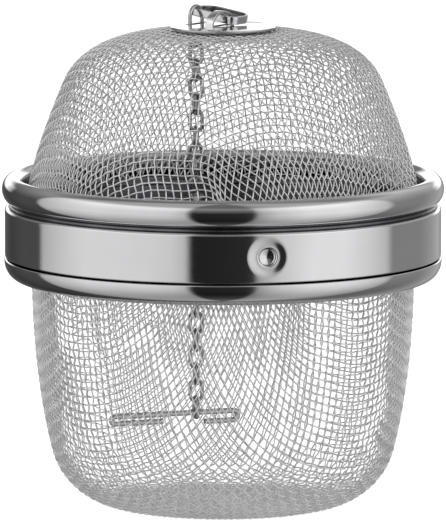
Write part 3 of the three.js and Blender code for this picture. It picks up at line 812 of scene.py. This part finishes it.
disc_outline = [
    (0.0, DISC_TOP - SHEET), (DISC_RADIUS - DISC_EDGE, DISC_TOP - SHEET),
    *arc((DISC_RADIUS - DISC_EDGE, DISC_TOP - SHEET + DISC_EDGE), DISC_EDGE, DISC_EDGE, -70, 0, 4),
    *arc((DISC_RADIUS - DISC_EDGE, DISC_TOP - DISC_EDGE), DISC_EDGE, DISC_EDGE, 0, 90, 5),
    (0.0, DISC_TOP)]
disc_bm = bmesh.new()
disc_points = [disc_bm.verts.new((r, 0, z)) for r, z in disc_outline]
disc_edges = [disc_bm.edges.new(pair) for pair in zip(disc_points, disc_points[1:])]
bmesh.ops.spin(disc_bm, geom=disc_points + disc_edges, cent=(0, 0, 0), axis=(0, 0, 1),
               angle=2 * pi, steps=DISC_STEPS, use_merge=True)
bmesh.ops.remove_doubles(disc_bm, verts=disc_bm.verts, dist=WELD_GAP)
bmesh.ops.recalc_face_normals(disc_bm, faces=disc_bm.faces)
# Painted shade: the steep faces of the rounded edge get a dark colour, for the thin dark line at the
# rim.
for face in disc_bm.faces:
    if abs(face.normal.z) < 0.4:
        face.material_index = 1
disc = finish_bmesh(disc_bm, "disc_plate")
disc_rim_shade_steel = steel("disc_rim_painted_shade", DISC_RIM_SHADE_COLOR, roughness=0.4, lines=0.3, streak=0.3)


def slot_cutter(name, place, length, width):
    """A round-ended block through the disc, to cut a slot with."""
    bm = bmesh.new()
    straight = length / 2 - width / 2
    bmesh.ops.create_circle(bm, cap_ends=True, segments=SLOT_SIDES, radius=width / 2,
                            matrix=Matrix.Translation((0, 0, DISC_TOP - 1)))
    for vert in bm.verts:
        vert.co.y += straight if vert.co.y > 0 else -straight
    top = bmesh.ops.extrude_face_region(bm, geom=bm.faces[:])["geom"]
    bmesh.ops.translate(bm, vec=(0, 0, 2),
                        verts=[v for v in top if isinstance(v, bmesh.types.BMVert)])
    bmesh.ops.recalc_face_normals(bm, faces=bm.faces)
    bmesh.ops.rotate(bm, verts=bm.verts, cent=(0, 0, 0),
                     matrix=Matrix.Rotation(FITTING_TURN, 3, "Z"))
    bmesh.ops.translate(bm, vec=(*place, 0), verts=bm.verts)
    return finish_bmesh(bm, name, smooth=False)


cut_away(disc, [slot_cutter("ring_slot", RING_PLACE, RING_SLOT_LENGTH, RING_SLOT_WIDTH),
                slot_cutter("lanced_slot", BRIDGE_PLACE, 2 * BRIDGE_HALF_SPAN, BRIDGE_WIDTH)])
for finish in (disc_steel, disc_rim_shade_steel):
    disc.data.materials.append(finish)
disc.data.set_sharp_from_angle(angle=DISC_SHARP_ANGLE)
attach(disc, "lid")
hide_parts("top_disc")


def strip_piece(name, route, across, width, thickness, edge, closed=False):
    """A flat strip that follows a route of points in mm, with its long edges rounded."""
    bm = bmesh.new()
    path = [Vector(p) for p in route]
    count = len(path)
    across = Vector(across).normalized()
    section = (Matrix.Diagonal((width * sqrt(0.5), thickness * sqrt(0.5), 1, 1))
               @ Matrix.Rotation(pi / 4, 4, "Z"))
    rows = []
    for k, point in enumerate(path):
        before = path[k - 1] if closed or k else path[k]
        after = path[(k + 1) % count] if closed or k < count - 1 else path[k]
        along = (after - before).normalized()
        out = along.cross(across).normalized()
        facing = Matrix((across, out, along)).transposed().to_4x4()
        row = bmesh.ops.create_circle(bm, cap_ends=False, segments=4, radius=1,
                                      matrix=Matrix.Translation(point) @ facing @ section)
        rows.append([e for v in row["verts"] for e in v.link_edges])
    for k in range(count if closed else count - 1):
        bmesh.ops.bridge_loops(bm, edges=list({*rows[k], *rows[(k + 1) % count]}))
    bmesh.ops.holes_fill(bm, edges=bm.edges[:], sides=4)
    bmesh.ops.recalc_face_normals(bm, faces=bm.faces)
    long_edges = [e for e in bm.edges if not e.is_boundary and e.calc_face_angle(0) > STRIP_CORNER_ANGLE
                  and abs((e.verts[0].co - e.verts[1].co).normalized().dot(across)) < 0.7]
    bmesh.ops.bevel(bm, geom=long_edges, offset=edge, segments=3, profile=0.5, affect="EDGES",
                    material=-1, clamp_overlap=True)
    piece = finish_bmesh(bm, name)
    piece.data.set_sharp_from_angle(angle=STRIP_SHARP_ANGLE)
    return piece


along_bar = Vector((cos(FITTING_TURN), sin(FITTING_TURN), 0))
across_bar = Vector((-sin(FITTING_TURN), cos(FITTING_TURN), 0))
bridge_middle = Vector((*BRIDGE_PLACE, DISC_TOP))
bridge_route = []
for degree in np.linspace(0, 180, BRIDGE_STEPS + 1):
    reach = (BRIDGE_HALF_SPAN + SHEET / 2) * cos(radians(degree))
    rise = (BRIDGE_RISE + SHEET / 2) * sin(radians(degree)) ** BRIDGE_SQUARENESS
    bridge_route.append(bridge_middle + across_bar * reach + Vector((0, 0, rise - 0.02)))
bridge = strip_piece("disc_bridge", bridge_route, along_bar, BRIDGE_WIDTH, SHEET, BRIDGE_EDGE)
bridge.data.materials.append(disc_steel)
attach(bridge, "lid")
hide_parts("top_disc")

# ---- Handle loop --------------------------------------------------------------------------
# A closed loop bent from 1.4 mm by 0.5 mm stainless strip, threaded under the bridge. It lies
# folded down on the disc, its long end propped up by the chain's ring.
LOOP_STRIP = 0.5
LOOP_HEIGHT = 1.4
LOOP_SHORT_END = 2.9
LOOP_LONG_END = 6.3
LOOP_WIDTH = 5.8
LOOP_NEAR_CORNER = 1.2
LOOP_FAR_CORNER = 2.6
LOOP_LEAN = radians(8)
LOOP_BAR_HEIGHT = 86.054
LOOP_EDGE = 0.12
LOOP_CORNER_STEPS = 12
# The second handle colour is painted shade for the inside of the loop.
HANDLE_SHADE_COLOR = (0.26, 0.26, 0.27)

handle_steel = steel("handle_steel", RING_COLOR, roughness=0.14, lines=0.08, scratches=0.08,
                     streak=0.1)
loop_place = (Matrix.Translation((*BRIDGE_PLACE, LOOP_BAR_HEIGHT))
              @ Matrix.Rotation(FITTING_TURN, 4, "Z") @ Matrix.Rotation(LOOP_LEAN, 4, "Y"))
loop_route = []
for x, y, radius, start in (
        (LOOP_SHORT_END - LOOP_NEAR_CORNER, LOOP_NEAR_CORNER, LOOP_NEAR_CORNER, -90),
        (LOOP_SHORT_END - LOOP_FAR_CORNER, LOOP_WIDTH - LOOP_FAR_CORNER, LOOP_FAR_CORNER, 0),
        (LOOP_FAR_CORNER - LOOP_LONG_END, LOOP_WIDTH - LOOP_FAR_CORNER, LOOP_FAR_CORNER, 90),
        (LOOP_NEAR_CORNER - LOOP_LONG_END, LOOP_NEAR_CORNER, LOOP_NEAR_CORNER, 180)):
    for degree in np.linspace(start, start + 90, LOOP_CORNER_STEPS + 1):
        spot = Vector((x + radius * cos(radians(degree)), y + radius * sin(radians(degree)), 0))
        loop_route.append(loop_place @ spot)
loop_tall = (loop_place.to_3x3() @ Vector((0, 0, 1))).normalized()
handle = strip_piece("handle_strip", loop_route, loop_tall, LOOP_HEIGHT, LOOP_STRIP, LOOP_EDGE,
                     closed=True)
handle_painted_shade = steel("handle_painted_shade", HANDLE_SHADE_COLOR, roughness=0.25, lines=0.1, streak=0.3)
for finish in (handle_steel, handle_painted_shade):
    handle.data.materials.append(finish)
loop_middle = loop_place @ Vector(((LOOP_SHORT_END - LOOP_LONG_END) / 2, LOOP_WIDTH / 2, 0)) * MM
# Painted shade: the faces on the inside of the loop get the dark second material.
for face in handle.data.polygons:
    if abs(face.normal.dot(loop_tall)) < 0.5 and face.normal.dot(loop_middle - face.center) > 0:
        face.material_index = 1
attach(handle, "handle")
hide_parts("handle_loop")

# ---- Chain --------------------------------------------------------------------------------
# A long ring of 0.7 mm wire hangs from the handle loop through the disc, and 22 closed links
# of the same wire hang from it, each square to the last, inside the infuser.
CHAIN_COLOR = (0.46, 0.46, 0.47)
LINK_WIRE_RADIUS = 0.35
LINK_HALF_WIDTH = 1.1
LINK_SIDES = 12
LINK_BEND_STEPS = 12
LINK_COUNT = 22
RING_HALF_WIDTH = 1.85
RING_FACING = 55.0
CHAIN_START = -20.0
CHAIN_TWIST = 42.0

chain_steel = steel("chain_steel", CHAIN_COLOR, roughness=0.2, lines=0.1, streak=0.3)


def wire_link(name, node, facing, half_width):
    """A closed link of round wire that stands along Z where a CAD link is."""
    low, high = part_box(node)
    middle = (low + high) / 2 / MM
    length = (high.z - low.z) / MM
    straight = length / 2 - half_width - LINK_WIRE_RADIUS
    loop = []
    for turn, side in ((0, 1), (180, -1)):
        for degree in np.linspace(turn, turn + 180, LINK_BEND_STEPS + 1):
            loop.append((half_width * cos(radians(degree)),
                         side * straight + half_width * sin(radians(degree))))
    bm = bmesh.new()
    turned = Matrix.Translation(middle) @ Matrix.Rotation(radians(facing), 4, "Z")
    ring_rows = []
    for k, (x, z) in enumerate(loop):
        centre = Vector((0, 0, (1 if k <= LINK_BEND_STEPS else -1) * straight))
        out = (Vector((x, 0, z)) - centre).normalized()
        lean = Matrix.Rotation(-atan2(out.z, out.x), 4, "Y")
        row = bmesh.ops.create_circle(
            bm, cap_ends=False, segments=LINK_SIDES, radius=LINK_WIRE_RADIUS,
            matrix=turned @ Matrix.Translation((x, 0, z)) @ lean)
        ring_rows.append([e for v in row["verts"] for e in v.link_edges])
    for k, row in enumerate(ring_rows):
        following = ring_rows[(k + 1) % len(ring_rows)]
        bmesh.ops.bridge_loops(bm, edges=list({*row, *following}))
    bmesh.ops.recalc_face_normals(bm, faces=bm.faces)
    return finish_bmesh(bm, name)


chain_parts = [("chain_top_ring", "chain_ring", RING_FACING, RING_HALF_WIDTH)]
for k in range(LINK_COUNT):
    facing = CHAIN_START + CHAIN_TWIST * k / LINK_COUNT + (k % 2) * 90
    chain_parts.append((f"chain_wire_{k + 1:02d}", f"chain_link_{k + 1:02d}", facing,
                        LINK_HALF_WIDTH))
for name, node, facing, half_width in chain_parts:
    link = wire_link(name, node, facing, half_width)
    link.data.materials.append(wire_steel if node == "chain_ring" else chain_steel)
    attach(link, node)
    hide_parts(node)

# ---- Cup hook -----------------------------------------------------------------------------
# A hook of 1 mm drawn wire at the chain's end. Both ends are bent back underneath, so that it
# catches on the rim of a cup or pot.
HOOK_RADIUS = 0.5
HOOK_LONG_ARM = 16.4
HOOK_SHORT_ARM = 8.3
HOOK_LONG_BEND = 0.65
HOOK_SHORT_BEND = 0.85
HOOK_LONG_RETURN = 9.0
HOOK_SHORT_RETURN = 5.4
HOOK_BENDS = range(0, 181, 15)
HOOK_ARM_POINTS = 12
HOOK_TURN = radians(CHAIN_START + CHAIN_TWIST * (LINK_COUNT - 1) / LINK_COUNT)

hook_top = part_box("cup_hook")[1].z / MM - HOOK_RADIUS
long_end = -HOOK_LONG_ARM + HOOK_RADIUS + HOOK_LONG_BEND
short_end = HOOK_SHORT_ARM - HOOK_RADIUS - HOOK_SHORT_BEND
hook_line = [(long_end + HOOK_LONG_RETURN, -2 * HOOK_LONG_BEND)]
hook_line += [(long_end - HOOK_LONG_BEND * sin(radians(a)),
               -HOOK_LONG_BEND * (1 + cos(radians(a)))) for a in HOOK_BENDS]
hook_line += [(x, 0.0) for x in np.linspace(long_end + 1, short_end - 1, HOOK_ARM_POINTS)]
hook_line += [(short_end + HOOK_SHORT_BEND * sin(radians(a)),
               HOOK_SHORT_BEND * (cos(radians(a)) - 1)) for a in HOOK_BENDS]
hook_line += [(short_end - HOOK_SHORT_RETURN, -2 * HOOK_SHORT_BEND)]
hook_points = [(RING_PLACE[0] + x * cos(HOOK_TURN), RING_PLACE[1] + x * sin(HOOK_TURN),
                hook_top + z) for x, z in hook_line]
hook = wire_piece("hook_wire", [hook_points], 2 * HOOK_RADIUS, resolution=4)
hook.data.materials.append(wire_steel)
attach(hook, "hook")
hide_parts("cup_hook")
